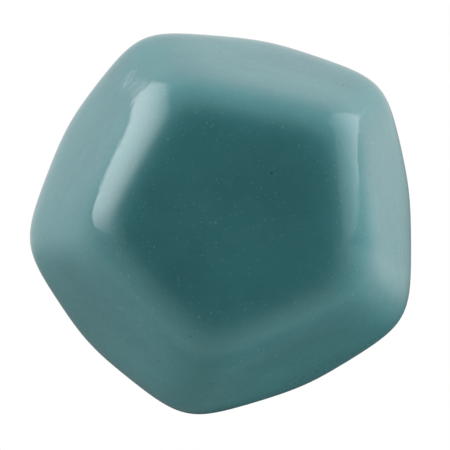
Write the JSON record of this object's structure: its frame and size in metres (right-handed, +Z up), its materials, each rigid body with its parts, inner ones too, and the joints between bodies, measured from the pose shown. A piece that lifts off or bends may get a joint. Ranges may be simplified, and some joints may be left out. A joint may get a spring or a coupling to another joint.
{
  "type": "cabinet knob",
  "caption": "Faceted glazed ceramic cabinet knob on a metal ferrule, with a cemented threaded stud, washers and a clamping nut.",
  "frame": {"origin": "on the stud's axis, in the plane of the ferrule's back face, which rests on the drawer front's outer face", "axes": "+Y along the stud into the drawer, -Y the way the knob faces, +Z up through one corner of the head, +X to the right seen from the front"},
  "size_m": [0.0405, 0.0825, 0.0402],
  "materials": {
    "teal_glaze": "gloss",
    "setting_cement": "matt",
    "plated_steel": "satin",
    "black_rubber": "matt",
    "nickel_plate": "polished"
  },
  "bodies": {
    "root": {"ceramic_head": "teal_glaze", "cement_plug": "setting_cement", "anchor_nut": "plated_steel", "mounting_stud": "plated_steel", "cushion_washer": "black_rubber", "base_ferrule": "nickel_plate"},
    "clamp_washers": {"flat_washer": "plated_steel", "spring_washer": "plated_steel"},
    "clamp_nut": {"hex_nut": "plated_steel"}
  },
  "joints": [
    {"name": "clamp_travel", "type": "slide", "parent": "root", "child": "clamp_washers", "axis": [0, 1, 0], "range_m": [-0.0119, 0.0133]},
    {"name": "nut_turn", "type": "hinge", "parent": "clamp_washers", "child": "clamp_nut", "pos_m": [0, 0.0227, 0], "axis": [0, 1, 0], "range_deg": [-6120, 6840]}
  ],
  "couplings": [
    {"joint": "nut_turn", "follows": "clamp_travel", "rad_per_m": 8976}
  ]
}
